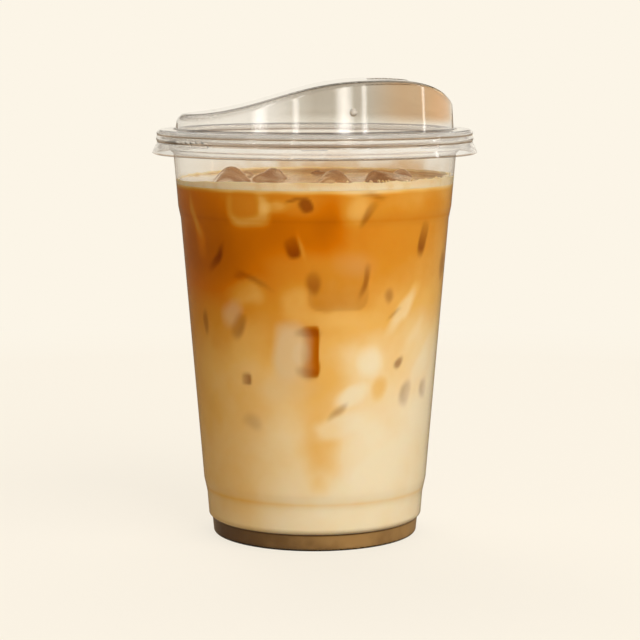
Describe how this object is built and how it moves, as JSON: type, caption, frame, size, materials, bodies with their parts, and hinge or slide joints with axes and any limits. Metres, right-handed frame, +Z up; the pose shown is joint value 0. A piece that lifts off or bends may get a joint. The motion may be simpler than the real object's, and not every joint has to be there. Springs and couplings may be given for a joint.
{
  "type": "iced latte",
  "caption": "Clear plastic cup of layered iced latte with floating ice, closed by a clear press-on sip lid.",
  "frame": {"origin": "centre of the cup's foot, on the table", "axes": "+Z up along the cup's axis; +X towards the raised drinking side of the lid; -Y is the front"},
  "size_m": [0.099, 0.099, 0.1396],
  "materials": {
    "clear_cup": "clear, glossy",
    "clear_lid": "clear, glossy",
    "milk_coffee": "wet, marbled",
    "syrup": "dark, glossy",
    "foam": "fine bubbles",
    "ice": "wet, clear"
  },
  "bodies": {
    "root": {"cup": "clear_cup", "lid": "clear_lid", "latte": "milk_coffee", "syrup": "syrup", "foam": "foam", "ice_1": "ice", "ice_2": "ice", "ice_3": "ice", "ice_4": "ice", "ice_5": "ice", "ice_6": "ice", "ice_7": "ice"}
  },
  "joints": []
}
